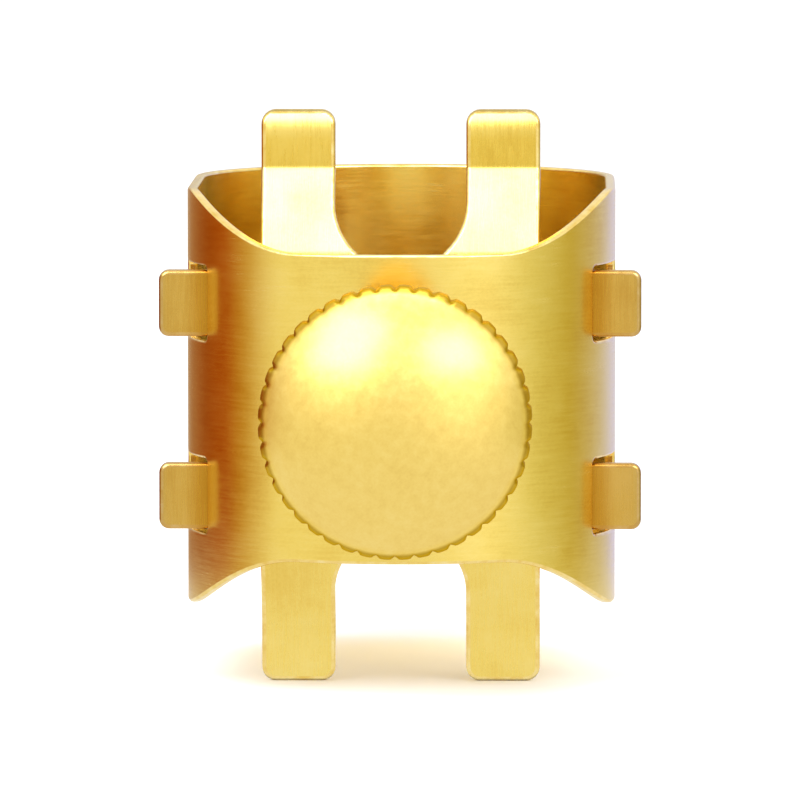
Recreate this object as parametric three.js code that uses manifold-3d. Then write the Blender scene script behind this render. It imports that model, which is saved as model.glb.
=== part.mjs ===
// A ligature for a slim metal tenor mouthpiece: a sheet-brass ring, a domed clamp screw in a threaded
// boss, and an H-shaped pressure plate that the screw carries and whose ears run in the ring's windows.
//
// Millimetres. +Z runs along the mouthpiece towards its tip, +Y from the knob towards the back of the
// ring, +X to the right when the knob faces the viewer. The origin is where the screw's axis crosses
// the axis of the ring's front arch, half way up the ring. "Ahead" is a distance towards -Y.
import * as THREE from 'three';
import { mergeVertices } from 'three/addons/utils/BufferGeometryUtils.js';
import Module from 'manifold-3d';

const wasm = await Module();
wasm.setup();

// Ring
const BAND_RADIUS = 9.7;             // outside of the front and back arches
const BAND_WALL = 0.45;
const BAND_FLANK = 8.9;              // straight flank between the two arches
const BAND_HALF_HEIGHT_FRONT = 6.9;
const BAND_HALF_HEIGHT_SIDE = 9.4;
const RELIEF_START = 4.8;            // distance round the arch from its front to where the edge rises
const RELIEF_LENGTH = 9.2;
const SCREW_HOLE_RADIUS = 2.0;

// Pressure plate, by distances ahead of the origin
const PLATE_AHEAD = 4.0;             // front face of its flat centre, with the screw backed out
const PLATE_THICKNESS = 0.8;
const FOOT_DROP = 2.2;               // feet stand this far behind the centre
const CENTRE_HALF_HEIGHT = 6.5;      // height at which a prong bends back
const FOOT_START = 10.35;            // height at which a prong's slope ends and its foot begins
const PLATE_HALF_HEIGHT = 12.97;
const PRONG_INNER = 2.95;
const PRONG_OUTER = 6.3;
const EAR_REACH = 10.86;
const EAR_CENTRE = 4.35;
const EAR_HEIGHT = 3.0;
const NOTCH_BOTTOM = 5.8;            // height where the round notch between two prongs ends
const NOTCH_FILLET = 2.9;
const PRONG_CORNER_FILLET = 0.65;
const EAR_CORNER_FILLET = 0.45;
const EAR_ROOT_FILLET = 0.3;

// Travel of the plate and the screw, and the windows that leave room for it
const TRAVEL = 3.0;
const WINDOW_CLEARANCE = 0.15;
const WINDOW_SIDE_CLEARANCE = 0.2;
const WINDOW_OVERRUN = 0.2;          // room behind an ear at full travel
const WINDOW_INNER = 6.0;            // the window cutter starts inside the ring's wall

// Threaded boss
const BOSS_RADIUS = 2.8;             // narrow enough for a cap's 6 mm slot to pass it
const BOSS_AHEAD = 11.4;
const BOSS_BORE = 1.85;
const BOSS_BLANK_INSET = 2.0;        // the bush starts inside the ring before the arch is cut from it
const SEAT_GAP = 0.3;                // room for the braze between the boss and the arch

// Clamp screw, by distances ahead of the origin
const THREAD_RADIUS = 1.75;
const STEM_AHEAD = 17.4;
const SHOULDER_AHEAD = 4.4;
const JOURNAL_RADIUS = 1.2;
const JOURNAL_END_AHEAD = 1.95;
const JOURNAL_CHAMFER = 0.15;
const GROOVE_RADIUS = 0.95;
const GROOVE_FRONT_AHEAD = 2.82;
const GROOVE_BACK_AHEAD = 2.38;

// Knob
const KNOB_RADIUS = 6.0;
const KNOB_HUB_AHEAD = 14.6;
const KNOB_HUB_RADIUS = 2.8;
const KNOB_UNDERSIDE_AHEAD = 15.1;
const KNOB_CHAMFER = 0.3;
const KNOB_RIM_AHEAD = 16.95;        // end of the knurled band
const DOME_RIM_RADIUS = 5.85;
const DOME_START_AHEAD = 17.05;
const DOME_APEX_AHEAD = 19.6;
const KNOB_HOLE_RADIUS = 1.8;
const KNOB_HOLE_AHEAD = 17.5;

// Washers and clip
const WASHER_RADIUS = 2.6;
const WASHER_BORE = 1.3;
const WASHER_THICKNESS = 0.3;
const THRUST_WASHER_BACK_AHEAD = 4.05;
const RETAINING_WASHER_BACK_AHEAD = 2.85;
const CLIP_OUTER_RADIUS = 2.3;
const CLIP_INNER_RADIUS = 1.0;
const CLIP_THICKNESS = 0.4;
const CLIP_BACK_AHEAD = 2.4;
const CLIP_MOUTH = THREE.MathUtils.degToRad(80);

const ARCH_SEGMENTS = 24;            // per quarter turn
const ROUND_SEGMENTS = 48;
const PLATE_CURVE_SEGMENTS = 8;
const DOME_SEGMENTS = 8;
const TRIM_MARGIN = 1.0;             // trimming solids reach this far past what they trim

const GOLD = new THREE.Color(0.83, 0.62, 0.22);
const KNOB_GOLD = new THREE.Color(0.9, 0.72, 0.34);
const bandFinish = new THREE.MeshStandardMaterial({ color: GOLD, metalness: 1, roughness: 0.38 });
const plateFinish = new THREE.MeshStandardMaterial({ color: GOLD, metalness: 1, roughness: 0.34 });
const knobFinish = new THREE.MeshStandardMaterial({ color: KNOB_GOLD, metalness: 1, roughness: 0.42 });
const stemFinish = new THREE.MeshStandardMaterial({ color: GOLD, metalness: 1, roughness: 0.3 });

// ---------- joining and cutting ----------

function solidFrom(geometry) {
  const bare = geometry.clone();
  bare.deleteAttribute('normal');
  bare.deleteAttribute('uv');
  const merged = mergeVertices(bare, 1e-4);
  return new wasm.Manifold(new wasm.Mesh({
    numProp: 3,
    vertProperties: merged.attributes.position.array,
    triVerts: new Uint32Array(merged.index.array),
  }));
}

function geometryFrom(solid) {
  const { vertProperties, triVerts } = solid.getMesh();
  const geometry = new THREE.BufferGeometry();
  geometry.setAttribute('position', new THREE.BufferAttribute(vertProperties, 3));
  geometry.setIndex(new THREE.BufferAttribute(triVerts, 1));
  geometry.computeVertexNormals();
  return geometry;
}

function named(name, geometry, material) {
  const mesh = new THREE.Mesh(geometry, material);
  mesh.name = name;
  return mesh;
}

// ---------- shapes ----------

// A closed outline through right-angled corners [x, y, fillet], each rounded by a quarter circle.
function filletedShape(corners) {
  const shape = new THREE.Shape();
  corners.forEach(([x, y, fillet], i) => {
    const corner = new THREE.Vector2(x, y);
    const [beforeX, beforeY] = corners.at(i - 1);
    const [afterX, afterY] = corners[(i + 1) % corners.length];
    const back = new THREE.Vector2(beforeX, beforeY).sub(corner).normalize();
    const on = new THREE.Vector2(afterX, afterY).sub(corner).normalize();
    const centre = corner.clone().addScaledVector(back, fillet).addScaledVector(on, fillet);
    const startAngle = Math.atan2(-on.y, -on.x);
    const endAngle = Math.atan2(-back.y, -back.x);
    const clockwise = back.cross(on) > 0;
    shape.absarc(centre.x, centre.y, fillet, startAngle, endAngle, clockwise);
  });
  shape.closePath();
  return shape;
}

// An outline in X and Z as a slab across the screw's axis, from backAhead forwards.
function slabAhead(shape, backAhead, depth, curveSegments) {
  const geometry = new THREE.ExtrudeGeometry(shape, { depth, curveSegments, bevelEnabled: false });
  geometry.rotateX(Math.PI / 2);
  geometry.translate(0, -backAhead, 0);
  return geometry;
}

// A turned piece on the screw's axis, from its profile of [radius, ahead] points, which goes from the
// back of the piece forwards along its outside.
function turned(profile) {
  const points = profile.map(([radius, ahead]) => new THREE.Vector2(radius, -ahead)).reverse();
  return new THREE.LatheGeometry(points, ROUND_SEGMENTS);
}

// ---------- band ----------

// Half the ring's height at a point of its wall: low across the front, rising smoothly to the flanks.
function bandHalfHeight(x, y) {
  if (y >= 0) return BAND_HALF_HEIGHT_SIDE;
  const roundTheArch = BAND_RADIUS * Math.atan2(Math.abs(x), -y);
  const rise = THREE.MathUtils.smoothstep(roundTheArch, RELIEF_START, RELIEF_START + RELIEF_LENGTH);
  return THREE.MathUtils.lerp(BAND_HALF_HEIGHT_FRONT, BAND_HALF_HEIGHT_SIDE, rise);
}

function ringOutline(path, radius) {
  path.moveTo(radius, 0);
  path.lineTo(radius, BAND_FLANK);
  path.absarc(0, BAND_FLANK, radius, 0, Math.PI);
  path.lineTo(-radius, 0);
  path.absarc(0, 0, radius, Math.PI, 2 * Math.PI);
  return path;
}

// The ring's outline is extruded from z = -1 to 1, and each end is then moved to the half height there.
function bandSheet() {
  const outline = ringOutline(new THREE.Shape(), BAND_RADIUS);
  outline.holes.push(ringOutline(new THREE.Path(), BAND_RADIUS - BAND_WALL));
  const sheet = new THREE.ExtrudeGeometry(outline, {
    depth: 2,
    curveSegments: ARCH_SEGMENTS,
    bevelEnabled: false,
  });
  sheet.translate(0, 0, -1);
  const position = sheet.attributes.position;
  for (let i = 0; i < position.count; i += 1) {
    const halfHeight = bandHalfHeight(position.getX(i), position.getY(i));
    position.setZ(i, position.getZ(i) * halfHeight);
  }
  return sheet;
}

// The cutter for one window: side is -1 or 1 for left or right, level for the lower or upper ear.
function windowCutter(side, level) {
  const front = PLATE_AHEAD + WINDOW_CLEARANCE;
  const back = PLATE_AHEAD - PLATE_THICKNESS - TRAVEL - WINDOW_OVERRUN;
  const width = EAR_REACH - WINDOW_INNER;
  const height = EAR_HEIGHT + 2 * WINDOW_SIDE_CLEARANCE;
  const cutter = new THREE.BoxGeometry(width, front - back, height);
  cutter.translate(side * (WINDOW_INNER + width / 2), -(front + back) / 2, level * EAR_CENTRE);
  return solidFrom(cutter);
}

function screwHoleCutter() {
  const length = 2 * BAND_RADIUS - BAND_WALL;
  const cutter = new THREE.CylinderGeometry(SCREW_HOLE_RADIUS, SCREW_HOLE_RADIUS, length, ROUND_SEGMENTS);
  cutter.translate(0, -length / 2, 0);
  return solidFrom(cutter);
}

function bandGeometry() {
  let ring = solidFrom(bandSheet());
  for (const side of [-1, 1]) {
    for (const level of [-1, 1]) ring = ring.subtract(windowCutter(side, level));
  }
  return geometryFrom(ring.subtract(screwHoleCutter()));
}

// ---------- threaded boss ----------

// A bush whose underside is hollowed to the ring's arch.
function bossGeometry() {
  const inRing = BAND_RADIUS - BOSS_BLANK_INSET;
  const bush = solidFrom(turned([
    [BOSS_BORE, inRing],
    [BOSS_RADIUS, inRing],
    [BOSS_RADIUS, BOSS_AHEAD],
    [BOSS_BORE, BOSS_AHEAD],
    [BOSS_BORE, inRing],
  ]));
  const archRadius = BAND_RADIUS + SEAT_GAP;
  const archLength = 2 * (BOSS_RADIUS + TRIM_MARGIN);
  const arch = new THREE.CylinderGeometry(archRadius, archRadius, archLength, 4 * ROUND_SEGMENTS);
  arch.rotateX(Math.PI / 2);
  return geometryFrom(bush.subtract(solidFrom(arch)));
}

// ---------- pressure plate ----------

function mirroredCorners(quarter) {
  const turnedBack = [...quarter].reverse();
  return [
    ...quarter,
    ...turnedBack.map(([x, z, fillet]) => [x, -z, fillet]),
    ...quarter.map(([x, z, fillet]) => [-x, -z, fillet]),
    ...turnedBack.map(([x, z, fillet]) => [-x, z, fillet]),
  ];
}

// The plate seen along the screw: an H of four prongs, with two ears on each side.
function plateOutline() {
  const earLow = EAR_CENTRE - EAR_HEIGHT / 2;
  const earHigh = EAR_CENTRE + EAR_HEIGHT / 2;
  const outline = filletedShape(mirroredCorners([
    [PRONG_INNER, NOTCH_BOTTOM, NOTCH_FILLET],
    [PRONG_INNER, PLATE_HALF_HEIGHT, PRONG_CORNER_FILLET],
    [PRONG_OUTER, PLATE_HALF_HEIGHT, PRONG_CORNER_FILLET],
    [PRONG_OUTER, earHigh, EAR_ROOT_FILLET],
    [EAR_REACH, earHigh, EAR_CORNER_FILLET],
    [EAR_REACH, earLow, EAR_CORNER_FILLET],
    [PRONG_OUTER, earLow, EAR_ROOT_FILLET],
  ]));
  outline.holes.push(new THREE.Path().absarc(0, 0, WASHER_BORE, 0, 2 * Math.PI));
  return outline;
}

// The plate's bends seen from the side, as one strip of constant thickness across the whole width.
function plateStrip() {
  const slope = Math.atan2(FOOT_DROP, FOOT_START - CENTRE_HALF_HEIGHT);
  const bendShift = PLATE_THICKNESS * Math.tan(slope / 2);
  const footAhead = PLATE_AHEAD - FOOT_DROP;
  const frontFace = [
    [CENTRE_HALF_HEIGHT, PLATE_AHEAD],
    [FOOT_START, footAhead],
    [PLATE_HALF_HEIGHT, footAhead],
  ];
  const backFace = [
    [PLATE_HALF_HEIGHT, footAhead - PLATE_THICKNESS],
    [FOOT_START - bendShift, footAhead - PLATE_THICKNESS],
    [CENTRE_HALF_HEIGHT - bendShift, PLATE_AHEAD - PLATE_THICKNESS],
  ];
  const upperHalf = [...frontFace, ...backFace];
  const lowerHalf = [...upperHalf].reverse().map(([height, ahead]) => [-height, ahead]);
  const points = [...upperHalf, ...lowerHalf].map(([height, ahead]) => new THREE.Vector2(height, -ahead));
  const depth = 2 * (EAR_REACH + TRIM_MARGIN);
  const strip = new THREE.ExtrudeGeometry(new THREE.Shape(points), { depth, bevelEnabled: false });
  strip.translate(0, 0, -depth / 2);
  strip.rotateY(-Math.PI / 2);
  return strip;
}

function plateGeometry() {
  const slab = slabAhead(plateOutline(), 0, PLATE_AHEAD + TRIM_MARGIN, PLATE_CURVE_SEGMENTS);
  return geometryFrom(solidFrom(plateStrip()).intersect(solidFrom(slab)));
}

// ---------- clamp screw ----------

function stemGeometry() {
  return turned([
    [0, JOURNAL_END_AHEAD],
    [JOURNAL_RADIUS - JOURNAL_CHAMFER, JOURNAL_END_AHEAD],
    [JOURNAL_RADIUS, JOURNAL_END_AHEAD + JOURNAL_CHAMFER],
    [JOURNAL_RADIUS, GROOVE_BACK_AHEAD],
    [GROOVE_RADIUS, GROOVE_BACK_AHEAD],
    [GROOVE_RADIUS, GROOVE_FRONT_AHEAD],
    [JOURNAL_RADIUS, GROOVE_FRONT_AHEAD],
    [JOURNAL_RADIUS, SHOULDER_AHEAD],
    [THREAD_RADIUS, SHOULDER_AHEAD],
    [THREAD_RADIUS, STEM_AHEAD],
    [0, STEM_AHEAD],
  ]);
}

// The dome's profile: a circular arc from the rim to the apex on the axis.
function domeProfile() {
  const height = DOME_APEX_AHEAD - DOME_START_AHEAD;
  const sphere = (DOME_RIM_RADIUS ** 2 + height ** 2) / (2 * height);
  const rimAngle = Math.asin(DOME_RIM_RADIUS / sphere);
  const points = [];
  for (let i = 0; i <= DOME_SEGMENTS; i += 1) {
    const angle = rimAngle * (1 - i / DOME_SEGMENTS);
    points.push([sphere * Math.sin(angle), DOME_APEX_AHEAD - sphere * (1 - Math.cos(angle))]);
  }
  return points;
}

function knobGeometry() {
  return turned([
    [0, KNOB_HOLE_AHEAD],
    [KNOB_HOLE_RADIUS, KNOB_HOLE_AHEAD],
    [KNOB_HOLE_RADIUS, KNOB_HUB_AHEAD],
    [KNOB_HUB_RADIUS, KNOB_HUB_AHEAD],
    [KNOB_HUB_RADIUS, KNOB_UNDERSIDE_AHEAD],
    [KNOB_RADIUS - KNOB_CHAMFER, KNOB_UNDERSIDE_AHEAD],
    [KNOB_RADIUS, KNOB_UNDERSIDE_AHEAD + KNOB_CHAMFER],
    [KNOB_RADIUS, KNOB_RIM_AHEAD],
    ...domeProfile(),
  ]);
}

// ---------- washers and clip ----------

function washerGeometry(backAhead) {
  const frontAhead = backAhead + WASHER_THICKNESS;
  return turned([
    [WASHER_BORE, backAhead],
    [WASHER_RADIUS, backAhead],
    [WASHER_RADIUS, frontAhead],
    [WASHER_BORE, frontAhead],
    [WASHER_BORE, backAhead],
  ]);
}

// An open ring whose mouth points down.
function clipGeometry() {
  const start = -Math.PI / 2 + CLIP_MOUTH / 2;
  const end = 3 * Math.PI / 2 - CLIP_MOUTH / 2;
  const shape = new THREE.Shape();
  shape.absarc(0, 0, CLIP_OUTER_RADIUS, start, end, false);
  shape.absarc(0, 0, CLIP_INNER_RADIUS, end, start, true);
  shape.closePath();
  return slabAhead(shape, CLIP_BACK_AHEAD, CLIP_THICKNESS, ARCH_SEGMENTS / 2);
}

// ---------- assembly ----------

const ring = new THREE.Group();
ring.add(named('band', bandGeometry(), bandFinish));
ring.add(named('threaded_boss', bossGeometry(), bandFinish));

const clampScrew = new THREE.Group();
clampScrew.add(named('knob', knobGeometry(), knobFinish));
clampScrew.add(named('screw_stem', stemGeometry(), stemFinish));
clampScrew.add(named('thrust_washer', washerGeometry(THRUST_WASHER_BACK_AHEAD), stemFinish));
clampScrew.add(named('retaining_washer', washerGeometry(RETAINING_WASHER_BACK_AHEAD), stemFinish));
clampScrew.add(named('retaining_clip', clipGeometry(), stemFinish));

const group = new THREE.Group();
group.add(ring);
group.add(named('pressure_plate', plateGeometry(), plateFinish));
group.add(clampScrew);

export default group;
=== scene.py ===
"""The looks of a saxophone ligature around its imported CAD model: a gold-plated sheet ring, an H-shaped
pressure plate and a domed, knurled clamp screw. Metres, +Z towards the mouthpiece's tip, knob towards -Y.
"Ahead" is a distance towards -Y from the origin."""

import math

import bmesh
import bpy
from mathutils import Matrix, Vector


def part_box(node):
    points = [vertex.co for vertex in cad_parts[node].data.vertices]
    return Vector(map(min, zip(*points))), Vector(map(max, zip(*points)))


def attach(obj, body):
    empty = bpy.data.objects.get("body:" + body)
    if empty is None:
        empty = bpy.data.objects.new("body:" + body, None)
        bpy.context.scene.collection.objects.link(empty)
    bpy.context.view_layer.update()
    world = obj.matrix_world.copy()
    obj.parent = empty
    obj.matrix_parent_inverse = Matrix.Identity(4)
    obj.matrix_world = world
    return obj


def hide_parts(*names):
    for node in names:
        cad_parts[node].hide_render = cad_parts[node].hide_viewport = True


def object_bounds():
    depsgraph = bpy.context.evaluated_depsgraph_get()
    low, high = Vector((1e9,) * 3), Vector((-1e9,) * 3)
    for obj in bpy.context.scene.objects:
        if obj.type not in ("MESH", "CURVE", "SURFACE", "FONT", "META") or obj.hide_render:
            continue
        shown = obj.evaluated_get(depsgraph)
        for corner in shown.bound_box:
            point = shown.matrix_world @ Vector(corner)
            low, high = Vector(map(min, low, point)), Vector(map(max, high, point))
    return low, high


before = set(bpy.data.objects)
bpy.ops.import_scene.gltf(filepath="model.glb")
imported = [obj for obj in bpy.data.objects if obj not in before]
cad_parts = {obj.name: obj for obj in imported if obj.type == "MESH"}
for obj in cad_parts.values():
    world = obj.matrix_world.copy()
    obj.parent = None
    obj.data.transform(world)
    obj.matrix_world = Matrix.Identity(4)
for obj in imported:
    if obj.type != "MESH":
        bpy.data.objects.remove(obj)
cad_low, cad_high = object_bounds()

MM = 0.001

# ---------- places and sizes, from the frame ----------

band_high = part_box("band")[1]
plate_low, plate_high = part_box("pressure_plate")
knob_low, knob_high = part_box("knob")
boss_low, boss_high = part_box("threaded_boss")
stem_low, stem_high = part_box("screw_stem")
clip_low, clip_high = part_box("retaining_clip")

BAND_RADIUS = band_high.x
BAND_FLANK = band_high.y - BAND_RADIUS
BAND_HALF_HEIGHT_SIDE = band_high.z
PLATE_AHEAD = -plate_low.y
FOOT_BACK_AHEAD = -plate_high.y
EAR_REACH = plate_high.x
PLATE_HALF_HEIGHT = plate_high.z
BOSS_RADIUS = boss_high.x
BOSS_AHEAD = -boss_low.y
KNOB_RADIUS = knob_high.x
KNOB_HUB_AHEAD = -knob_high.y
KNOB_APEX_AHEAD = -knob_low.y
STEM_AHEAD = -stem_low.y
STEM_END_AHEAD = -stem_high.y
THREAD_RADIUS = stem_high.x
CLIP_RADIUS = clip_high.x

# ---------- sizes that the frame doesn't tell ----------

# The ring's upper and lower edges are relieved at the front. Start and length are measured round its arch.
BAND_WALL = 0.45 * MM
BAND_HALF_HEIGHT_FRONT = 6.9 * MM
RELIEF_START = 4.8 * MM
RELIEF_LENGTH = 9.2 * MM
BAND_EDGE = 0.14 * MM
SCREW_HOLE_RADIUS = 2.0 * MM
THREAD_BORE_RADIUS = 1.85 * MM
WINDOW_CORNER = 0.3 * MM
WINDOW_CLEARANCE = 0.1 * MM
WINDOW_SIDE_CLEARANCE = 0.2 * MM

# The prongs' tips are rolled off in front, by a share of half the sheet that grows from a start height.
PLATE_THICKNESS = 0.8 * MM
PLATE_EDGE = 0.2 * MM
BEND_RADIUS = 0.75 * MM
TIP_ROLL_START = 11.97 * MM
TIP_ROLL = 0.65
CENTRE_HALF_HEIGHT = 6.5 * MM
FOOT_START = 10.35 * MM
PRONG_INNER = 2.95 * MM
PRONG_OUTER = 6.3 * MM
EAR_CENTRE = 4.35 * MM
EAR_HEIGHT = 3.0 * MM
NOTCH_BOTTOM = 5.8 * MM
NOTCH_FILLET = 2.9 * MM
PRONG_CORNER_FILLET = 0.65 * MM
EAR_CORNER_FILLET = 0.45 * MM
EAR_ROOT_FILLET = 0.3 * MM
JOURNAL_HOLE_RADIUS = 1.3 * MM

THREAD_PITCH = 0.6 * MM
THREAD_DEPTH = 0.6134 * THREAD_PITCH
SHOULDER_AHEAD = 4.4 * MM
JOURNAL_RADIUS = 1.2 * MM
GROOVE_RADIUS = 0.95 * MM
GROOVE_AHEAD = (2.38 * MM, 2.82 * MM)

KNURL_TEETH = 44
KNURL_DEPTH = 0.15 * MM
KNURL_NARROWNESS = 9

# How many faces go round a turned piece, the stem, each tooth of the knob and the surround.
ROUND_STEPS = 96
THREAD_STEPS = 48
KNURL_STEPS = 10
SURROUND_STEPS = 72


# ---------- materials ----------

class Nodes:
    """A short way to write a material's node tree."""

    def __init__(self, name):
        self.material = bpy.data.materials.new(name)
        self.material.use_nodes = True
        self.tree = self.material.node_tree
        self.shader = self.tree.nodes["Principled BSDF"]
        self.shader.inputs["Metallic"].default_value = 1.0

    def add(self, kind, inputs=(), **settings):
        node = self.tree.nodes.new(kind)
        for key, value in settings.items():
            setattr(node, key, value)
        for key, value in dict(inputs).items():
            self.feed(node, key, value)
        return node

    def feed(self, node, key, value):
        if isinstance(value, bpy.types.NodeSocket):
            self.tree.links.new(value, node.inputs[key])
        else:
            node.inputs[key].default_value = value

    def noise(self, stretch, detail=3.0, roughness=0.55):
        """Noise whose grain is 1 / stretch long on each axis, in metres of the part's own frame."""
        place = self.add("ShaderNodeTexCoord")
        scaled = self.add(
            "ShaderNodeVectorMath", {0: place.outputs["Object"], 1: stretch}, operation="MULTIPLY",
        )
        texture = self.add(
            "ShaderNodeTexNoise",
            {"Vector": scaled.outputs[0], "Scale": 1.0, "Detail": detail, "Roughness": roughness},
        )
        return texture.outputs["Fac"]

    def spread(self, value, low, high, start=0.3, end=0.7):
        """value's middle range, spread from low to high."""
        node = self.add(
            "ShaderNodeMapRange",
            {"Value": value, "From Min": start, "From Max": end, "To Min": low, "To Max": high},
        )
        return node.outputs["Result"]

    def colours(self, value, *stops):
        ramp = self.add("ShaderNodeValToRGB", {"Fac": value})
        elements = ramp.color_ramp.elements
        while len(elements) < len(stops):
            elements.new(0.5)
        for element, (place, colour) in zip(elements, stops):
            element.position = place
            element.color = (*colour, 1.0)
        return ramp.outputs["Color"]

    def total(self, *values):
        result = values[0]
        for value in values[1:]:
            result = self.add("ShaderNodeMath", {0: result, 1: value}, operation="ADD").outputs[0]
        return result

    def tinted(self, colour, shade):
        """The colour under a tint, when there is one."""
        if shade is None:
            return colour
        tint = self.add("ShaderNodeMix", {"Factor": 1.0}, data_type="RGBA", blend_type="MULTIPLY")
        self.feed(tint, 6, colour)
        self.feed(tint, 7, shade(self))
        return tint.outputs[2]

    def bump(self, height, depth, strength=1.0, under=None):
        inputs = {"Height": height, "Distance": depth, "Strength": strength}
        if under is not None:
            inputs["Normal"] = under
        return self.add("ShaderNodeBump", inputs).outputs["Normal"]


GOLD_DEEP = (0.82, 0.56, 0.105)
GOLD = (0.9, 0.67, 0.155)
GOLD_PALE = (0.93, 0.72, 0.21)


def brushed_gold(name, lines, roughness, line_depth, shade=None):
    """Gold plate over a brushed surface. lines is how often the brushing changes along each axis, and
    shade(nodes) gives a tint of painted shade over the colour."""
    nodes = Nodes(name)
    brushing = nodes.noise(lines, detail=4.0, roughness=0.65)
    grain = nodes.noise((7000, 7000, 7000), detail=2.0)
    clouds = nodes.noise((260, 260, 260), detail=3.0)
    tone = nodes.total(
        nodes.spread(clouds, 0.0, 0.6),
        nodes.spread(brushing, 0.0, 0.25),
        nodes.spread(grain, 0.0, 0.15),
    )
    colour = nodes.colours(tone, (0.1, GOLD_DEEP), (0.5, GOLD), (0.9, GOLD_PALE))
    nodes.feed(nodes.shader, "Base Color", nodes.tinted(colour, shade))
    rough = nodes.total(nodes.spread(brushing, *roughness), nodes.spread(clouds, -0.03, 0.03))
    nodes.feed(nodes.shader, "Roughness", rough)
    fine = nodes.bump(grain, 0.0016 * MM, 0.6)
    nodes.feed(nodes.shader, "Normal", nodes.bump(brushing, line_depth, 0.6, under=fine))
    return nodes.material


def ear_painted_shade(nodes):
    """Painted shade: the plate is darker on its ears, most at their roots in the band's windows, where the
    band's wall shades them.
    """
    place = nodes.add("ShaderNodeTexCoord").outputs["Object"]
    split = nodes.add("ShaderNodeSeparateXYZ", {0: place}).outputs
    aside = nodes.add("ShaderNodeMath", {0: split["X"]}, operation="ABSOLUTE").outputs[0]
    share = nodes.spread(aside, 0.0, 1.0, 8.3 * MM, EAR_REACH)
    return nodes.colours(
        share, (0.0, (1, 1, 1)), (0.1, (0.55, 0.34, 0.1)), (0.3, (0.62, 0.42, 0.2)),
        (0.55, (0.72, 0.59, 0.5)), (0.85, (0.7, 0.58, 0.52)), (1.0, (0.62, 0.56, 0.6)),
    )


def foot_painted_shade(nodes):
    """Painted shade: the plate is a little darker on the flat of its upper feet than on the lit slopes below
    them.
    """
    place = nodes.add("ShaderNodeTexCoord").outputs["Object"]
    split = nodes.add("ShaderNodeSeparateXYZ", {0: place}).outputs
    share = nodes.spread(split["Z"], 0.0, 1.0, 10.2 * MM, 12.6 * MM)
    return nodes.colours(
        share, (0.0, (1, 1, 1)), (0.12, (0.87, 0.8, 0.53)), (0.6, (0.9, 0.84, 0.6)), (0.85, (1, 1, 1)),
    )


# Painted shade on the plate: darker ears and upper feet.
def plate_painted_shade(nodes):
    return nodes.tinted(ear_painted_shade(nodes), foot_painted_shade)


def knob_radius(nodes):
    """How far a point of the knob is from the screw's axis."""
    place = nodes.add("ShaderNodeTexCoord").outputs["Object"]
    flat = nodes.add("ShaderNodeVectorMath", {0: place, 1: (1, 0, 1)}, operation="MULTIPLY").outputs[0]
    return nodes.add("ShaderNodeVectorMath", {0: flat}, operation="LENGTH").outputs["Value"]


def knurl_painted_shade(nodes):
    """Painted shade: the knob is darker over its knurled rim, between its teeth and round its outline."""
    share = nodes.spread(knob_radius(nodes), 0.0, 1.0, KNOB_RADIUS - 0.32 * MM, KNOB_RADIUS - 0.02 * MM)
    return nodes.colours(share, (0.0, (1, 1, 1)), (0.45, (0.6, 0.53, 0.31)), (1.0, (0.74, 0.66, 0.38)))


def blasted_gold(name):
    """Pale gold plate over a fine blasted surface, softly mottled. A thin clear lacquer is left on it
    except over the knurled rim."""
    nodes = Nodes(name)
    lacquer = nodes.spread(knob_radius(nodes), 1.0, 0.0, KNOB_RADIUS - 0.5 * MM, KNOB_RADIUS - 0.25 * MM)
    nodes.feed(nodes.shader, "Coat Weight", lacquer)
    nodes.feed(nodes.shader, "Coat Roughness", 0.38)
    nodes.feed(nodes.shader, "Specular Tint", (0.8, 0.6, 0.25, 1.0))
    mottle = nodes.noise((2300, 2300, 2300), detail=3.0, roughness=0.6)
    grain = nodes.noise((9000, 9000, 9000), detail=2.0)
    clouds = nodes.noise((330, 330, 330), detail=2.0)
    tone = nodes.total(
        nodes.spread(mottle, 0.0, 0.45),
        nodes.spread(clouds, 0.0, 0.3),
        nodes.spread(grain, 0.0, 0.25),
    )
    stops = ((0.1, (0.85, 0.585, 0.11)), (0.5, (0.9, 0.645, 0.138)), (0.9, (0.93, 0.695, 0.18)))
    # The knurled rim is darkened by painted shade.
    nodes.feed(nodes.shader, "Base Color", nodes.tinted(nodes.colours(tone, *stops), knurl_painted_shade))
    nodes.feed(nodes.shader, "Roughness", nodes.spread(mottle, 0.28, 0.36))
    fine = nodes.bump(grain, 0.002 * MM, 0.7)
    nodes.feed(nodes.shader, "Normal", nodes.bump(mottle, 0.004 * MM, 0.7, under=fine))
    return nodes.material


def polished_gold(name, roughness=(0.14, 0.26), shade=None):
    """Cut edges and turned faces, brighter where the plate is rubbed."""
    nodes = Nodes(name)
    wear = nodes.noise((1500, 1500, 1500), detail=4.0, roughness=0.6)
    stops = ((0.3, (0.84, 0.56, 0.12)), (0.55, (0.93, 0.7, 0.24)), (0.75, (0.96, 0.78, 0.36)))
    nodes.feed(nodes.shader, "Base Color", nodes.tinted(nodes.colours(wear, *stops), shade))
    nodes.feed(nodes.shader, "Roughness", nodes.spread(wear, *roughness))
    nodes.feed(nodes.shader, "Normal", nodes.bump(wear, 0.004 * MM, 0.5))
    return nodes.material


# ---------- meshes ----------

def linked(name, bm, materials):
    """The bmesh as a smooth-shaded object of the scene."""
    mesh = bpy.data.meshes.new(name)
    bm.to_mesh(mesh)
    bm.free()
    for material in materials:
        mesh.materials.append(material)
    for polygon in mesh.polygons:
        polygon.use_smooth = True
    piece = bpy.data.objects.new(name, mesh)
    bpy.context.scene.collection.objects.link(piece)
    return piece


def creased(name, bm, materials, angle):
    """A piece with a sharp crease wherever its faces turn by more than the angle."""
    bmesh.ops.recalc_face_normals(bm, faces=bm.faces)
    piece = linked(name, bm, materials)
    piece.data.set_sharp_from_angle(angle=math.radians(angle))
    return piece


def stand_in(piece, body, slot, *nodes):
    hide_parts(*nodes)
    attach(piece, body)
    return piece


def spaced(start, end, step):
    """Numbers from start to end, about step apart, both ends included."""
    count = max(1, round((end - start) / step))
    return [start + (end - start) * i / count for i in range(count + 1)]


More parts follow.
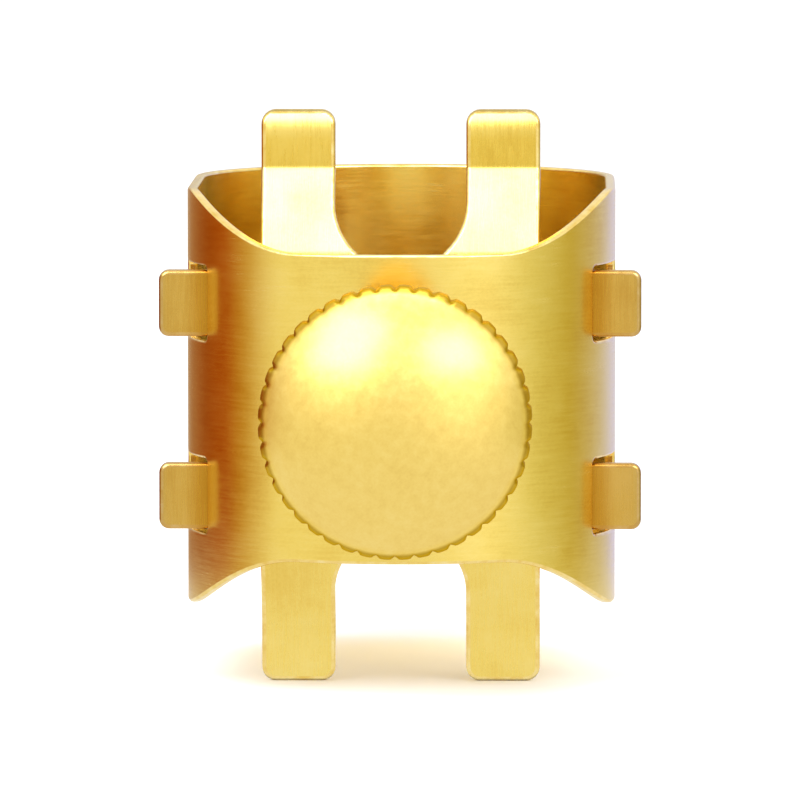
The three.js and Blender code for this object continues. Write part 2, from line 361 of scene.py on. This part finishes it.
def arc(centre, radius, start, end, count):
    """Points round a centre, by angles in degrees from +u towards +v."""
    points = []
    for i in range(count + 1):
        angle = math.radians(start + (end - start) * i / count)
        points.append((centre[0] + radius * math.cos(angle), centre[1] + radius * math.sin(angle)))
    return points


def fillet(corner, before, after, radius, count=6):
    """The rounding of a right-angled corner; before and after point from it along its two edges."""
    centre = (corner[0] + radius * (before[0] + after[0]), corner[1] + radius * (before[1] + after[1]))
    points = []
    for i in range(count + 1):
        angle = math.pi / 2 * i / count
        along_before = radius * math.sin(angle)
        along_after = radius * math.cos(angle)
        points.append((
            centre[0] - along_before * before[0] - along_after * after[0],
            centre[1] - along_before * before[1] - along_after * after[1],
        ))
    return points


def mirrored(polygons):
    """A quarter's polygons, repeated in all four quarters."""
    result = []
    for su in (1, -1):
        for sv in (1, -1):
            for polygon in polygons:
                copy = [(su * u, sv * v) for u, v in polygon]
                result.append(copy if su == sv else copy[::-1])
    return result


def flat_blank(polygons, thickness, closed_at):
    """The blank's two faces and its cut edges' walls, and the edges to round. There are no walls at
    u = +-closed_at. It is in millimetres, because the mesh tools lose detail below a micrometre."""
    bm = bmesh.new()
    levels = []
    for depth in (0.0, thickness):
        verts = {}
        for polygon in polygons:
            corners = []
            for u, v in polygon:
                key = (round(u * 1e7), round(v * 1e7))
                if key not in verts:
                    verts[key] = bm.verts.new((u / MM, v / MM, -depth / MM))
                if not corners or corners[-1] is not verts[key]:
                    corners.append(verts[key])
            bm.faces.new(corners if depth == 0 else corners[::-1])
        levels.append(verts)
    front, back = levels
    key_of = {vert: key for key, vert in front.items()}
    rims = []
    for boundary in [e for e in bm.edges if e.is_boundary and e.verts[0] in key_of]:
        if all(abs(vert.co.x) > closed_at / MM - 1e-4 for vert in boundary.verts):
            continue
        loop = boundary.link_loops[0]
        a, b = loop.vert, loop.link_loop_next.vert
        under_a, under_b = back[key_of[a]], back[key_of[b]]
        wall = bm.faces.new([b, a, under_a, under_b])
        wall.material_index = 1
        rims += [boundary, bm.edges.get((under_a, under_b))]
    return bm, rims


def sheet(name, polygons, thickness, edge, place, materials, u_lines=(), v_lines=(), closed_at=math.inf):
    """A bent sheet from its flat blank. Its cut edges are rounded over by edge and have the second
    material. place(u, depth, v) says where a point of the blank goes, and its shading follows exactly.
    The blank gets new edges along both signs of each u and v line, and its ends at u = +-closed_at are
    joined."""
    bm, rims = flat_blank(polygons, thickness, closed_at)
    bm.normal_update()
    bmesh.ops.bevel(
        bm, geom=rims, offset=edge / MM, offset_type="OFFSET", segments=3, profile=0.5,
        affect="EDGES", clamp_overlap=False, material=1,
    )
    for side in (1, -1):
        for u in u_lines:
            cut(bm, (side * u / MM, 0, 0), (1, 0, 0))
        for v in v_lines:
            cut(bm, (0, side * v / MM, 0), (0, 1, 0))
    bm.normal_update()
    flat = {vert: flat_normal(vert) for vert in bm.verts}
    bent = {}
    for vert in bm.verts:
        u, v, depth = vert.co.x * MM, vert.co.y * MM, -vert.co.z * MM
        bent[vert] = turned_with_sheet(place, u, depth, v, flat[vert])
        vert.co = place(u, depth, v)
    bmesh.ops.remove_doubles(bm, verts=bm.verts, dist=1e-8)
    normals = [bent[vert] for vert in bm.verts]
    piece = linked(name, bm, materials)
    piece.data.normals_split_custom_set_from_vertices(normals)
    return piece


def cut(bm, place, across):
    """New edges where a plane crosses the mesh."""
    geometry = bm.verts[:] + bm.edges[:] + bm.faces[:]
    bmesh.ops.bisect_plane(bm, geom=geometry, dist=1e-4, plane_co=place, plane_no=across)


def flat_normal(vert):
    """A flat face's own normal where a vertex has one, or else its walls', or else the mean."""
    level = [face for face in vert.link_faces if abs(face.normal.z) > 0.9999]
    upright = [face for face in vert.link_faces if abs(face.normal.z) < 0.001]
    chosen = level or upright or vert.link_faces
    return sum((face.normal * face.calc_area() for face in chosen), Vector()).normalized()


def turned_with_sheet(place, u, depth, v, normal):
    """A normal of the flat blank, turned the way the sheet is bent there."""
    step = 0.002 * MM
    along_u = (Vector(place(u + step, depth, v)) - Vector(place(u - step, depth, v))).normalized()
    along_v = (Vector(place(u, depth, v + step)) - Vector(place(u, depth, v - step))).normalized()
    outward = along_u.cross(along_v)
    return (along_u * normal.x + along_v * normal.y + outward * normal.z).normalized()


def revolved(profile, steps, radius_at=None):
    """A turned bmesh from [radius, ahead, knurl share] rows. A row of no radius closes on the axis."""
    bm = bmesh.new()
    rings = []
    for radius, ahead, share in profile:
        if radius == 0:
            rings.append([bm.verts.new((0, -ahead, 0))])
            continue
        ring = []
        for k in range(steps):
            angle = 2 * math.pi * k / steps
            r = radius - (radius_at(angle) * share if radius_at else 0)
            ring.append(bm.verts.new((r * math.sin(angle), -ahead, r * math.cos(angle))))
        rings.append(ring)
    for one, other in zip(rings, rings[1:]):
        join_rings(bm, one, other)
    if len(rings[0]) > 1 and len(rings[-1]) > 1:
        join_rings(bm, rings[-1], rings[0])
    return bm


def join_rings(bm, one, other):
    count = max(len(one), len(other))
    for k in range(count):
        n = (k + 1) % count
        if len(one) == 1:
            bm.faces.new([one[0], other[k], other[n]])
        elif len(other) == 1:
            bm.faces.new([one[k], other[0], one[n]])
        else:
            bm.faces.new([one[k], other[k], other[n], one[n]])


def arc_rows(centre_radius, centre_ahead, radius, start, end, count, share=0.0):
    """Profile rows round an arc, by angles in degrees from straight ahead towards the outside."""
    rows = []
    for i in range(count + 1):
        angle = math.radians(start + (end - start) * i / count)
        out = centre_radius + radius * math.sin(angle)
        rows.append((out, centre_ahead + radius * math.cos(angle), share))
    return rows


# ---------- band ----------

HALF_ARCH = math.pi * BAND_RADIUS / 2
HALF_ROUND = 2 * HALF_ARCH + BAND_FLANK
WINDOW_START = BAND_RADIUS * math.acos((PLATE_AHEAD + WINDOW_CLEARANCE) / (BAND_RADIUS - BAND_WALL))
WINDOW_LOW = EAR_CENTRE - EAR_HEIGHT / 2 - WINDOW_SIDE_CLEARANCE
WINDOW_HIGH = EAR_CENTRE + EAR_HEIGHT / 2 + WINDOW_SIDE_CLEARANCE


def band_half_height(s):
    """Half the ring's height at a distance s round its outside from the front."""
    t = min(max((abs(s) - RELIEF_START) / RELIEF_LENGTH, 0), 1)
    rise = t * t * (3 - 2 * t)
    return BAND_HALF_HEIGHT_FRONT + (BAND_HALF_HEIGHT_SIDE - BAND_HALF_HEIGHT_FRONT) * rise


def on_band(s, depth, z):
    """The place of a point of the flat blank on the ring."""
    side = math.copysign(1, s)
    radius = BAND_RADIUS - depth
    s = abs(s)
    if s <= HALF_ARCH:
        angle = s / BAND_RADIUS
        return (side * radius * math.sin(angle), -radius * math.cos(angle), z)
    if s <= HALF_ARCH + BAND_FLANK:
        return (side * radius, s - HALF_ARCH, z)
    angle = (s - HALF_ARCH - BAND_FLANK) / BAND_RADIUS
    return (side * radius * math.cos(angle), BAND_FLANK + radius * math.sin(angle), z)


def make_band(surface, rim):
    """The ring from one quarter of its blank, in two halves that meet along the window's middle. Its bend
    lines keep clear of the screw hole's side and of the window's rounded corners."""
    inner, outer = WINDOW_START, HALF_ARCH
    low, middle, high = WINDOW_LOW, EAR_CENTRE, WINDOW_HIGH
    corner = WINDOW_CORNER
    columns = (
        spaced(0, 1.6 * MM, 0.4 * MM)[1:]
        + spaced(2.4 * MM, inner - 0.2 * MM, 0.35 * MM)
        + spaced(inner + 0.45 * MM, outer - 0.45 * MM, 0.35 * MM)
        + spaced(outer + 0.15 * MM, outer + BAND_FLANK, 0.8 * MM)
        + spaced(outer + BAND_FLANK, HALF_ROUND, 0.35 * MM)[1:-1]
    )
    hole = arc((0, 0), SCREW_HOLE_RADIUS, 90, 0, 16)
    below = (
        [(0, middle)] + hole + [(HALF_ROUND, 0), (HALF_ROUND, middle), (outer, middle)]
        + fillet((outer, low), (0, 1), (-1, 0), corner)
        + fillet((inner, low), (1, 0), (0, 1), corner)
        + [(inner, middle)]
    )
    top = [(u, band_half_height(u)) for u in spaced(0, HALF_ROUND, 0.4 * MM)]
    above = (
        [(0, middle), (inner, middle)]
        + fillet((inner, high), (0, -1), (1, 0), corner)
        + fillet((outer, high), (-1, 0), (0, -1), corner)
        + [(outer, middle), (HALF_ROUND, middle)]
        + top[::-1]
    )
    piece = sheet(
        "ring_sheet", mirrored([below, above]), BAND_WALL, BAND_EDGE, on_band, [surface, rim],
        u_lines=columns, closed_at=HALF_ROUND,
    )
    return stand_in(piece, "band", "band_gold", "band")


def make_boss(surface):
    """The threaded bush on the ring, with its braze fillet, a chamfer and a countersunk mouth. Each row
    has a radius and a height, which is above the ring's arch where the third value says so."""
    bm = bmesh.new()
    chamfer = 0.22 * MM
    countersink = 0.28 * MM
    bore = THREAD_BORE_RADIUS
    sunk = -0.03 * MM
    rows = [
        (BOSS_RADIUS + 0.45 * MM, sunk, True),
        (BOSS_RADIUS + 0.3 * MM, 0.04 * MM, True),
        (BOSS_RADIUS + 0.16 * MM, 0.11 * MM, True),
        (BOSS_RADIUS + 0.06 * MM, 0.24 * MM, True),
        (BOSS_RADIUS, 0.42 * MM, True),
        (BOSS_RADIUS, BOSS_AHEAD - chamfer, False),
        (BOSS_RADIUS - 0.06 * MM, BOSS_AHEAD - 0.08 * MM, False),
        (BOSS_RADIUS - chamfer, BOSS_AHEAD, False),
        (bore + countersink, BOSS_AHEAD, False),
        (bore, BOSS_AHEAD - countersink, False),
        (bore, sunk, True),
    ]
    rings = []
    for radius, height, on_arch in rows:
        ring = []
        for k in range(ROUND_STEPS):
            angle = 2 * math.pi * k / ROUND_STEPS
            x = radius * math.sin(angle)
            ahead = math.sqrt(BAND_RADIUS**2 - x**2) + height if on_arch else height
            ring.append(bm.verts.new((x, -ahead, radius * math.cos(angle))))
        rings.append(ring)
    for one, other in zip(rings, rings[1:] + rings[:1]):
        join_rings(bm, one, other)
    piece = creased("boss_bush", bm, [surface], 35)
    return stand_in(piece, "band", "band_gold", "threaded_boss")


# ---------- pressure plate ----------

BEND_ANGLE = math.atan2(PLATE_AHEAD - FOOT_BACK_AHEAD - PLATE_THICKNESS, FOOT_START - CENTRE_HALF_HEIGHT)
BEND_SHIFT = PLATE_THICKNESS / 2 * math.tan(BEND_ANGLE / 2)
BEND_REACH = BEND_RADIUS * math.tan(BEND_ANGLE / 2)
UPPER_BEND = CENTRE_HALF_HEIGHT - BEND_SHIFT
LOWER_BEND = FOOT_START - BEND_SHIFT
UPPER_ARC = (UPPER_BEND - BEND_REACH, UPPER_BEND - BEND_REACH + BEND_RADIUS * math.sin(BEND_ANGLE))
LOWER_ARC = (LOWER_BEND + BEND_REACH - BEND_RADIUS * math.sin(BEND_ANGLE), LOWER_BEND + BEND_REACH)


def plate_profile(z):
    """How far ahead the middle of the sheet is at a height z above the centre, and its slope angle."""
    centre_ahead = PLATE_AHEAD - PLATE_THICKNESS / 2
    foot_ahead = FOOT_BACK_AHEAD + PLATE_THICKNESS / 2
    if z <= UPPER_ARC[0]:
        return centre_ahead, 0.0
    if z < UPPER_ARC[1]:
        angle = math.asin((z - UPPER_ARC[0]) / BEND_RADIUS)
        return centre_ahead - BEND_RADIUS * (1 - math.cos(angle)), angle
    if z <= LOWER_ARC[0]:
        return centre_ahead - (z - UPPER_BEND) * math.tan(BEND_ANGLE), BEND_ANGLE
    if z < LOWER_ARC[1]:
        angle = math.asin((LOWER_ARC[1] - z) / BEND_RADIUS)
        return foot_ahead + BEND_RADIUS * (1 - math.cos(angle)), angle
    return foot_ahead, 0.0


def on_plate(x, depth, z):
    """The place of a point of the flat blank on the bent plate, whose prong tips are rolled off in front."""
    side = math.copysign(1, z)
    ahead, angle = plate_profile(abs(z))
    out = PLATE_THICKNESS / 2 - depth
    if out > 0:
        past = min(max((abs(z) - TIP_ROLL_START) / (PLATE_HALF_HEIGHT - TIP_ROLL_START), 0), 1)
        out -= out * TIP_ROLL * past * past
    return (x, -(ahead + out * math.cos(angle)), side * (abs(z) + out * math.sin(angle)))


def make_plate(surface, rim):
    """The H from one quarter of its outline, which runs round the screw's hole, notch, prong and ear."""
    ear_low = EAR_CENTRE - EAR_HEIGHT / 2
    ear_high = EAR_CENTRE + EAR_HEIGHT / 2
    right, left, up, down = (1, 0), (-1, 0), (0, 1), (0, -1)
    outline = (
        arc((0, 0), JOURNAL_HOLE_RADIUS, 90, 0, 14)
        + [(PRONG_OUTER, 0)]
        + fillet((PRONG_OUTER, ear_low), down, right, EAR_ROOT_FILLET)
        + fillet((EAR_REACH, ear_low), left, up, EAR_CORNER_FILLET)
        + fillet((EAR_REACH, ear_high), down, left, EAR_CORNER_FILLET)
        + fillet((PRONG_OUTER, ear_high), right, up, EAR_ROOT_FILLET)
        + fillet((PRONG_OUTER, PLATE_HALF_HEIGHT), down, left, PRONG_CORNER_FILLET)
        + fillet((PRONG_INNER, PLATE_HALF_HEIGHT), right, down, PRONG_CORNER_FILLET)
        + fillet((PRONG_INNER, NOTCH_BOTTOM), up, left, NOTCH_FILLET, 20)
        + [(0, NOTCH_BOTTOM)]
    )
    bends = spaced(*UPPER_ARC, 0.06 * MM) + spaced(*LOWER_ARC, 0.06 * MM)
    roll = spaced(TIP_ROLL_START, PLATE_HALF_HEIGHT - 0.02 * MM, 0.08 * MM)
    piece = sheet(
        "reed_plate", mirrored([outline]), PLATE_THICKNESS, PLATE_EDGE, on_plate, [surface, rim],
        v_lines=bends + roll,
    )
    return stand_in(piece, "plate", "plate_gold", "pressure_plate")


# ---------- clamp screw ----------

def knurl_valley(angle):
    """Depth of the straight knurl's narrow grooves round the rim."""
    return KNURL_DEPTH * abs(math.cos(KNURL_TEETH * angle / 2)) ** KNURL_NARROWNESS


def make_knob(surface):
    """The knob from its hub outwards along its underside, over the knurled rim and up the dome."""
    hub_radius = 2.8 * MM
    hub_chamfer = 0.15 * MM
    underside = KNOB_HUB_AHEAD + 0.5 * MM
    rim_front = KNOB_HUB_AHEAD + 2.25 * MM
    dome_radius = KNOB_RADIUS - 0.2 * MM
    dome_start = KNOB_HUB_AHEAD + 2.5 * MM
    height = KNOB_APEX_AHEAD - dome_start
    sphere = (dome_radius**2 + height**2) / (2 * height)
    dome_angle = math.degrees(math.asin(dome_radius / sphere))
    stem_hole = THREAD_RADIUS + 0.05 * MM
    hole_end = STEM_AHEAD + 0.1 * MM
    profile = [
        (0, hole_end, 0),
        (stem_hole, hole_end, 0),
        (stem_hole, KNOB_HUB_AHEAD + 0.2 * MM, 0),
        (stem_hole + 0.2 * MM, KNOB_HUB_AHEAD, 0),
        (hub_radius - hub_chamfer, KNOB_HUB_AHEAD, 0),
        (hub_radius, KNOB_HUB_AHEAD + hub_chamfer, 0),
        (hub_radius, underside - 0.1 * MM, 0),
        (hub_radius + 0.1 * MM, underside, 0),
        (KNOB_RADIUS - 0.45 * MM, underside, 0),
        (KNOB_RADIUS - 0.36 * MM, underside + 0.02 * MM, 0.15),
        (KNOB_RADIUS - 0.1 * MM, underside + 0.24 * MM, 0.8),
        (KNOB_RADIUS, underside + 0.38 * MM, 1),
        (KNOB_RADIUS, (underside + rim_front) / 2, 1),
        (KNOB_RADIUS, rim_front - 0.14 * MM, 1),
        (KNOB_RADIUS - 0.035 * MM, rim_front, 0.95),
        (KNOB_RADIUS - 0.12 * MM, rim_front + 0.14 * MM, 0.6),
        (dome_radius, dome_start, 0.2),
    ]
    dome = arc_rows(0, KNOB_APEX_AHEAD - sphere, sphere, dome_angle, 0, 26)
    profile += [(radius, ahead, 0) for radius, ahead, _ in dome[1:-1]]
    profile.append((0, KNOB_APEX_AHEAD, 0))
    bm = revolved(profile, KNURL_TEETH * KNURL_STEPS, knurl_valley)
    piece = creased("domed_knob", bm, [surface], 50)
    return stand_in(piece, "screw", "knob_gold", "knob")


def thread_cut(phase):
    """Share of the thread's depth cut away at a phase of its pitch, from a crest to the next."""
    from_crest = min(phase, 1 - phase)
    return min(max((from_crest - 1 / 16) / (5 / 16), 0), 1)


def make_stem(surface):
    """The stem with its real right-hand thread, its journal and the clip's groove."""
    bm = bmesh.new()
    root_radius = THREAD_RADIUS - THREAD_DEPTH
    runout = 0.35 * MM
    chamfer = 0.15 * MM
    plain = [
        (0, STEM_END_AHEAD),
        (JOURNAL_RADIUS - chamfer, STEM_END_AHEAD),
        (JOURNAL_RADIUS, STEM_END_AHEAD + chamfer),
        (JOURNAL_RADIUS, GROOVE_AHEAD[0]),
        (GROOVE_RADIUS, GROOVE_AHEAD[0]),
        (GROOVE_RADIUS, GROOVE_AHEAD[1]),
        (JOURNAL_RADIUS, GROOVE_AHEAD[1]),
        (JOURNAL_RADIUS, SHOULDER_AHEAD),
        (root_radius, SHOULDER_AHEAD),
    ]
    turns = [k / THREAD_STEPS for k in range(THREAD_STEPS)]
    rings = []
    for radius, ahead in plain:
        if radius == 0:
            rings.append([bm.verts.new((0, -ahead, 0))])
        else:
            rings.append([circle_vert(bm, radius, ahead, turn) for turn in turns])
    thread_end = KNOB_HUB_AHEAD + 0.3 * MM
    for ahead in spaced(SHOULDER_AHEAD + 0.02 * MM, thread_end, THREAD_PITCH / 16):
        ramp = min((ahead - SHOULDER_AHEAD) / runout, 1)
        ring = []
        for turn in turns:
            removed = thread_cut((-ahead / THREAD_PITCH - turn) % 1)
            radius = THREAD_RADIUS - THREAD_DEPTH * max(removed, 1 - ramp)
            ring.append(circle_vert(bm, radius, ahead, turn))
        rings.append(ring)
    rings.append([circle_vert(bm, root_radius, STEM_AHEAD, turn) for turn in turns])
    rings.append([bm.verts.new((0, -STEM_AHEAD, 0))])
    for one, other in zip(rings, rings[1:]):
        join_rings(bm, one, other)
    piece = creased("threaded_stem", bm, [surface], 40)
    return stand_in(piece, "screw", "screw_gold", "screw_stem")


def circle_vert(bm, radius, ahead, turn):
    """A vertex at a share of a turn round the screw's axis."""
    angle = 2 * math.pi * turn
    return bm.verts.new((radius * math.sin(angle), -ahead, radius * math.cos(angle)))


# ---------- washers and clip ----------

def make_washer(name, node, surface):
    low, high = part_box(node)
    radius = high.x
    front = -low.y
    back = -high.y
    bore = JOURNAL_HOLE_RADIUS
    edge = 0.07 * MM
    profile = [
        (bore, back + edge, 0),
        (bore + edge, back, 0),
        (radius - edge, back, 0),
        (radius, back + edge, 0),
        (radius, front - edge, 0),
        (radius - edge, front, 0),
        (bore + edge, front, 0),
        (bore, front - edge, 0),
    ]
    piece = creased(name, revolved(profile, ROUND_STEPS), [surface], 30)
    return stand_in(piece, "screw", "screw_gold", node)


def make_clip(surface, rim):
    """The open clip: three lobes grip the journal's groove, and its mouth points down."""
    half_mouth = math.radians(40)
    middle_radius = 1.65 * MM
    length = middle_radius * (2 * math.pi - 2 * half_mouth)
    inner = 1.0 * MM
    relief = 0.45 * MM
    lobes = (0.03, 0.5, 0.97)

    def inner_radius(u):
        from_lobe = min(abs(u / length - lobe) for lobe in lobes)
        rise = min(max((from_lobe - 0.08) / 0.07, 0), 1)
        return inner + relief * rise * rise * (3 - 2 * rise)

    def on_clip(u, depth, radius):
        angle = -math.pi / 2 - half_mouth - u / middle_radius
        return (radius * math.cos(angle), clip_low.y + depth, radius * math.sin(angle))

    places = spaced(0, length, length / 72)
    outline = [(u, inner_radius(u)) for u in places[::-1]]
    outline += [(u, CLIP_RADIUS) for u in places]
    thickness = clip_high.y - clip_low.y
    piece = sheet("spring_clip", [outline[::-1]], thickness, 0.05 * MM, on_clip, [surface, rim], places[1:-1])
    return stand_in(piece, "screw", "screw_gold", "retaining_clip")


# ---------- stage, light and camera ----------

def make_floor():
    """A wide sheet of pale paper under the lower prongs."""
    bm = bmesh.new()
    half_width = 3.0
    bmesh.ops.create_grid(bm, x_segments=2, y_segments=2, size=half_width)
    mesh = bpy.data.meshes.new("floor")
    bm.to_mesh(mesh)
    bm.free()
    floor = bpy.data.objects.new("floor", mesh)
    floor.location = (0, 0, cad_low.z)
    bpy.context.scene.collection.objects.link(floor)
    paper = bpy.data.materials.new("pale_paper")
    paper.use_nodes = True
    shader = paper.node_tree.nodes["Principled BSDF"]
    shader.inputs["Base Color"].default_value = (0.93, 0.93, 0.925, 1)
    shader.inputs["Roughness"].default_value = 0.9
    shader.inputs["Specular IOR Level"].default_value = 0.1
    mesh.materials.append(paper)


def direction(azimuth, elevation):
    """From the object towards a place round it. Azimuth 0 is ahead of the knob, 90 is to its right."""
    a = math.radians(azimuth)
    e = math.radians(elevation)
    return Vector((math.sin(a) * math.cos(e), -math.cos(a) * math.cos(e), math.sin(e)))


def add_softbox(name, azimuth, elevation, distance, size, radiance):
    """A rectangular light that faces the object, as bright as its radiance whatever its size."""
    light = bpy.data.lights.new(name, "AREA")
    light.shape = "RECTANGLE"
    light.size, light.size_y = size
    light.energy = radiance * math.pi * size[0] * size[1]
    lamp = bpy.data.objects.new(name, light)
    towards = direction(azimuth, elevation)
    lamp.location = towards * distance
    lamp.rotation_euler = towards.to_track_quat("Z", "Y").to_euler()
    lamp.visible_camera = False
    bpy.context.scene.collection.objects.link(lamp)


# The surround's colours are linear light by azimuth in degrees, as direction() takes it.
SURROUND_WHITE = 0.95
SURROUND_RADIUS = 120 * MM
SURROUND_COLOURS = (
    (-180, (0.75, 0.75, 0.70)),
    (-152, (0.42, 0.22, 0.12)),
    (-125, (0.34, 0.08, 0.01)),
    (-103, (0.42, 0.09, 0.0)),
    (-88, (0.58, 0.34, 0.06)),
    (-66, (0.96, 0.95, 0.86)),
    (0, (0.93, 0.92, 0.82)),
    (45, (1.08, 1.10, 1.15)),
    (75, (0.76, 0.76, 0.54)),
    (100, (0.55, 0.47, 0.12)),
    (116, (0.60, 0.55, 0.48)),
    (150, (0.72, 0.76, 1.45)),
    (180, (0.75, 0.75, 0.70)),
)


def make_surround():
    """A low wall round the table that only reflections see: cards of white, warm brown and grey."""
    floor = cad_low.z
    rows = [
        (1 * MM, floor + 0.05 * MM),
        (30 * MM, floor + 0.05 * MM),
        (100 * MM, floor + 0.05 * MM),
        (114 * MM, floor + 4 * MM),
        (SURROUND_RADIUS, floor + 16 * MM),
        (SURROUND_RADIUS, 60 * MM),
    ]
    bm = bmesh.new()
    rings = []
    for radius, height in rows:
        ring = []
        for k in range(SURROUND_STEPS):
            angle = 2 * math.pi * k / SURROUND_STEPS
            ring.append(bm.verts.new((radius * math.sin(angle), radius * math.cos(angle), height)))
        rings.append(ring)
    for one, other in zip(rings, rings[1:]):
        join_rings(bm, one, other)
    reflections_only(linked("surround", bm, [surround_material()]))


def surround_material():
    """A glow whose colour depends on the direction, and that fades to white near the object and above."""
    nodes = Nodes("surround")
    brightest = max(max(colour) for _, colour in SURROUND_COLOURS)
    stops = [(azimuth / 360 + 0.5, [c / brightest for c in colour]) for azimuth, colour in SURROUND_COLOURS]
    place = nodes.add("ShaderNodeTexCoord").outputs["Object"]
    split = nodes.add("ShaderNodeSeparateXYZ", {0: place}).outputs
    ahead = nodes.add("ShaderNodeMath", {0: split["Y"], 1: -1.0}, operation="MULTIPLY").outputs[0]
    turn = nodes.add("ShaderNodeMath", {0: split["X"], 1: ahead}, operation="ARCTAN2").outputs[0]
    share = nodes.spread(turn, 0.0, 1.0, -math.pi, math.pi)
    flat = nodes.add("ShaderNodeVectorMath", {0: place, 1: (1, 1, 0)}, operation="MULTIPLY").outputs[0]
    radius = nodes.add("ShaderNodeVectorMath", {0: flat}, operation="LENGTH").outputs["Value"]
    outside = nodes.spread(radius, 0.0, 1.0, 30 * MM, 60 * MM)
    below = nodes.spread(split["Z"], 1.0, 0.0, 25 * MM, 60 * MM)
    mask = nodes.add("ShaderNodeMath", {0: outside, 1: below}, operation="MULTIPLY").outputs[0]
    white = (SURROUND_WHITE / brightest,) * 3
    mix = nodes.add("ShaderNodeMix", {"Factor": mask}, data_type="RGBA")
    mix.inputs[6].default_value = (*white, 1)
    nodes.feed(mix, 7, nodes.colours(share, *stops))
    glow = nodes.add("ShaderNodeEmission", {"Color": mix.outputs[2], "Strength": brightest})
    output = nodes.tree.nodes["Material Output"]
    nodes.feed(output, "Surface", glow.outputs[0])
    nodes.tree.nodes.remove(nodes.shader)
    return nodes.material


def make_slope_card():
    """A small bright card close above the knob, which only the plate's upper slopes mirror."""
    distance = 18 * MM
    half_width = 9 * MM
    half_height = 5.5 * MM
    slopes = Vector((0, -3 * MM, 8.4 * MM))
    towards = direction(0, 55)
    middle = slopes + towards * distance
    across = Vector((1, 0, 0))
    along = towards.cross(across)
    bm = bmesh.new()
    corners = []
    for a, b in ((-1, -1), (1, -1), (1, 1), (-1, 1)):
        corners.append(bm.verts.new(middle + across * a * half_width + along * b * half_height))
    bm.faces.new(corners)
    nodes = Nodes("slope_card")
    glow = nodes.add("ShaderNodeEmission", {"Strength": 5.0})
    nodes.feed(nodes.tree.nodes["Material Output"], "Surface", glow.outputs[0])
    nodes.tree.nodes.remove(nodes.shader)
    reflections_only(linked("slope_card", bm, [nodes.material]))


def reflections_only(piece):
    """A stage piece that lights nothing and shows only in mirror-like reflections."""
    piece.visible_camera = False
    piece.visible_diffuse = False
    piece.visible_shadow = False


def make_world():
    """A white studio."""
    world = bpy.data.worlds.new("studio")
    bpy.context.scene.world = world
    world.use_nodes = True
    background = world.node_tree.nodes["Background"]
    background.inputs["Color"].default_value = (1, 1, 1, 1)
    background.inputs["Strength"].default_value = 1.08


def make_camera():
    """A long lens from the front, a little above the object."""
    distance = 0.43
    frame_width = 0.036
    target = Vector((0, -0.004, 0))
    camera = bpy.data.cameras.new("camera")
    camera.sensor_width = 36
    camera.lens = camera.sensor_width * distance / frame_width
    camera.clip_start = 0.01
    camera.clip_end = 20
    towards = direction(1.0, 4.6)
    holder = bpy.data.objects.new("camera", camera)
    holder.location = target + towards * distance
    holder.rotation_euler = towards.to_track_quat("Z", "Y").to_euler()
    bpy.context.scene.collection.objects.link(holder)
    bpy.context.scene.camera = holder


# ---------- everything ----------

band_surface = brushed_gold("band_gold_satin", (500, 500, 9000), (0.18, 0.26), 0.003 * MM)
# The plate's colour has painted shade on its ears and upper feet.
plate_surface = brushed_gold("plate_gold_brushed", (9000, 600, 600), (0.22, 0.32), 0.0035 * MM, plate_painted_shade)
stem_surface = brushed_gold("screw_gold_turned", (700, 9000, 700), (0.2, 0.3), 0.002 * MM)
knob_surface = blasted_gold("knob_gold_blasted")
edge_surface = polished_gold("gold_polished_edge")
# The plate's cut edges carry the ears' painted shade as well.
plate_edge_surface = polished_gold("plate_gold_edge", shade=ear_painted_shade)

make_band(band_surface, edge_surface)
make_boss(stem_surface)
make_plate(plate_surface, plate_edge_surface)
make_knob(knob_surface)
make_stem(stem_surface)
make_washer("front_washer", "thrust_washer", edge_surface)
make_washer("rear_washer", "retaining_washer", edge_surface)
make_clip(stem_surface, edge_surface)

make_floor()
make_surround()
make_world()
make_slope_card()
add_softbox("key_left", -42, 44, 0.5, (0.35, 0.42), 4.6)
add_softbox("key_right", 45, 32, 0.5, (0.3, 0.36), 4.6)
make_camera()
bpy.context.scene.view_settings.view_transform = "Standard"
